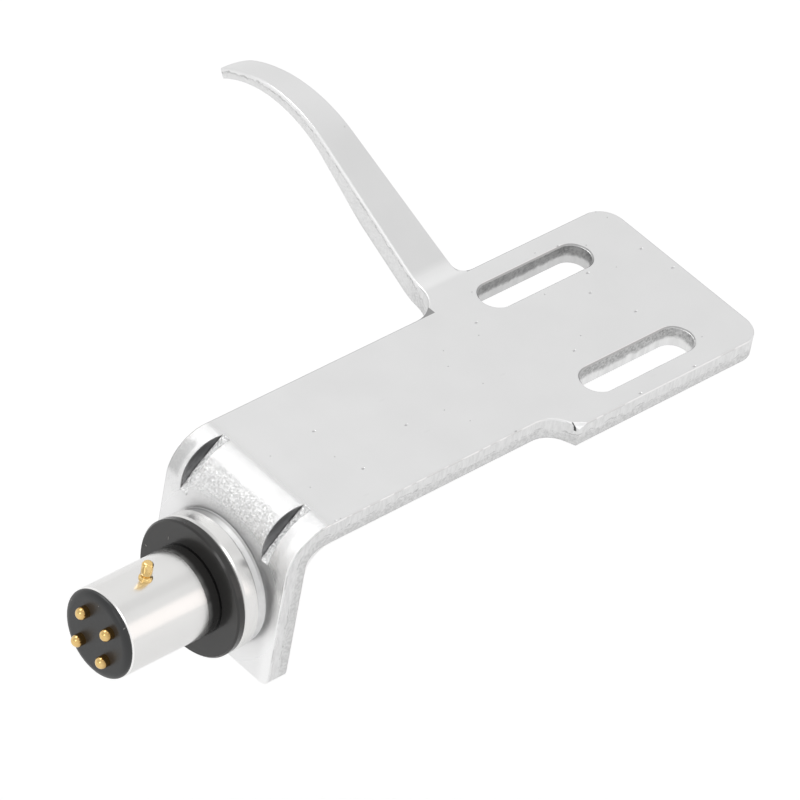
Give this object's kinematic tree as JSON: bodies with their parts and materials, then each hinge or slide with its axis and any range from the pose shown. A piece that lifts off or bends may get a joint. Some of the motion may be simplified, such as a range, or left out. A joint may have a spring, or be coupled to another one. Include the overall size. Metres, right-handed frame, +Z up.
{
  "type": "turntable headshell",
  "caption": "Pressed aluminium headshell with an arched finger lift, two long cartridge slots and a four-pin bayonet plug.",
  "frame": {"origin": "where the plug axis meets the front face of the seal washer", "axes": "+X along the plug axis towards the cartridge end, +Y towards the finger lift, +Z up out of the plate's top"},
  "size_m": [0.0659, 0.0485, 0.0229],
  "materials": {
    "pressed_plate": "satin",
    "turned_sleeve": "satin",
    "washer_rubber": "gloss",
    "insulator_plastic": "gloss",
    "plated_pin": "gloss"
  },
  "bodies": {
    "root": {"plate": "pressed_plate", "plug_sleeve": "turned_sleeve", "seal_washer": "washer_rubber", "insulator": "insulator_plastic", "locating_pin": "plated_pin", "contact_pin_upper_left": "plated_pin", "contact_pin_upper_right": "plated_pin", "contact_pin_lower_left": "plated_pin", "contact_pin_lower_right": "plated_pin"}
  },
  "joints": []
}
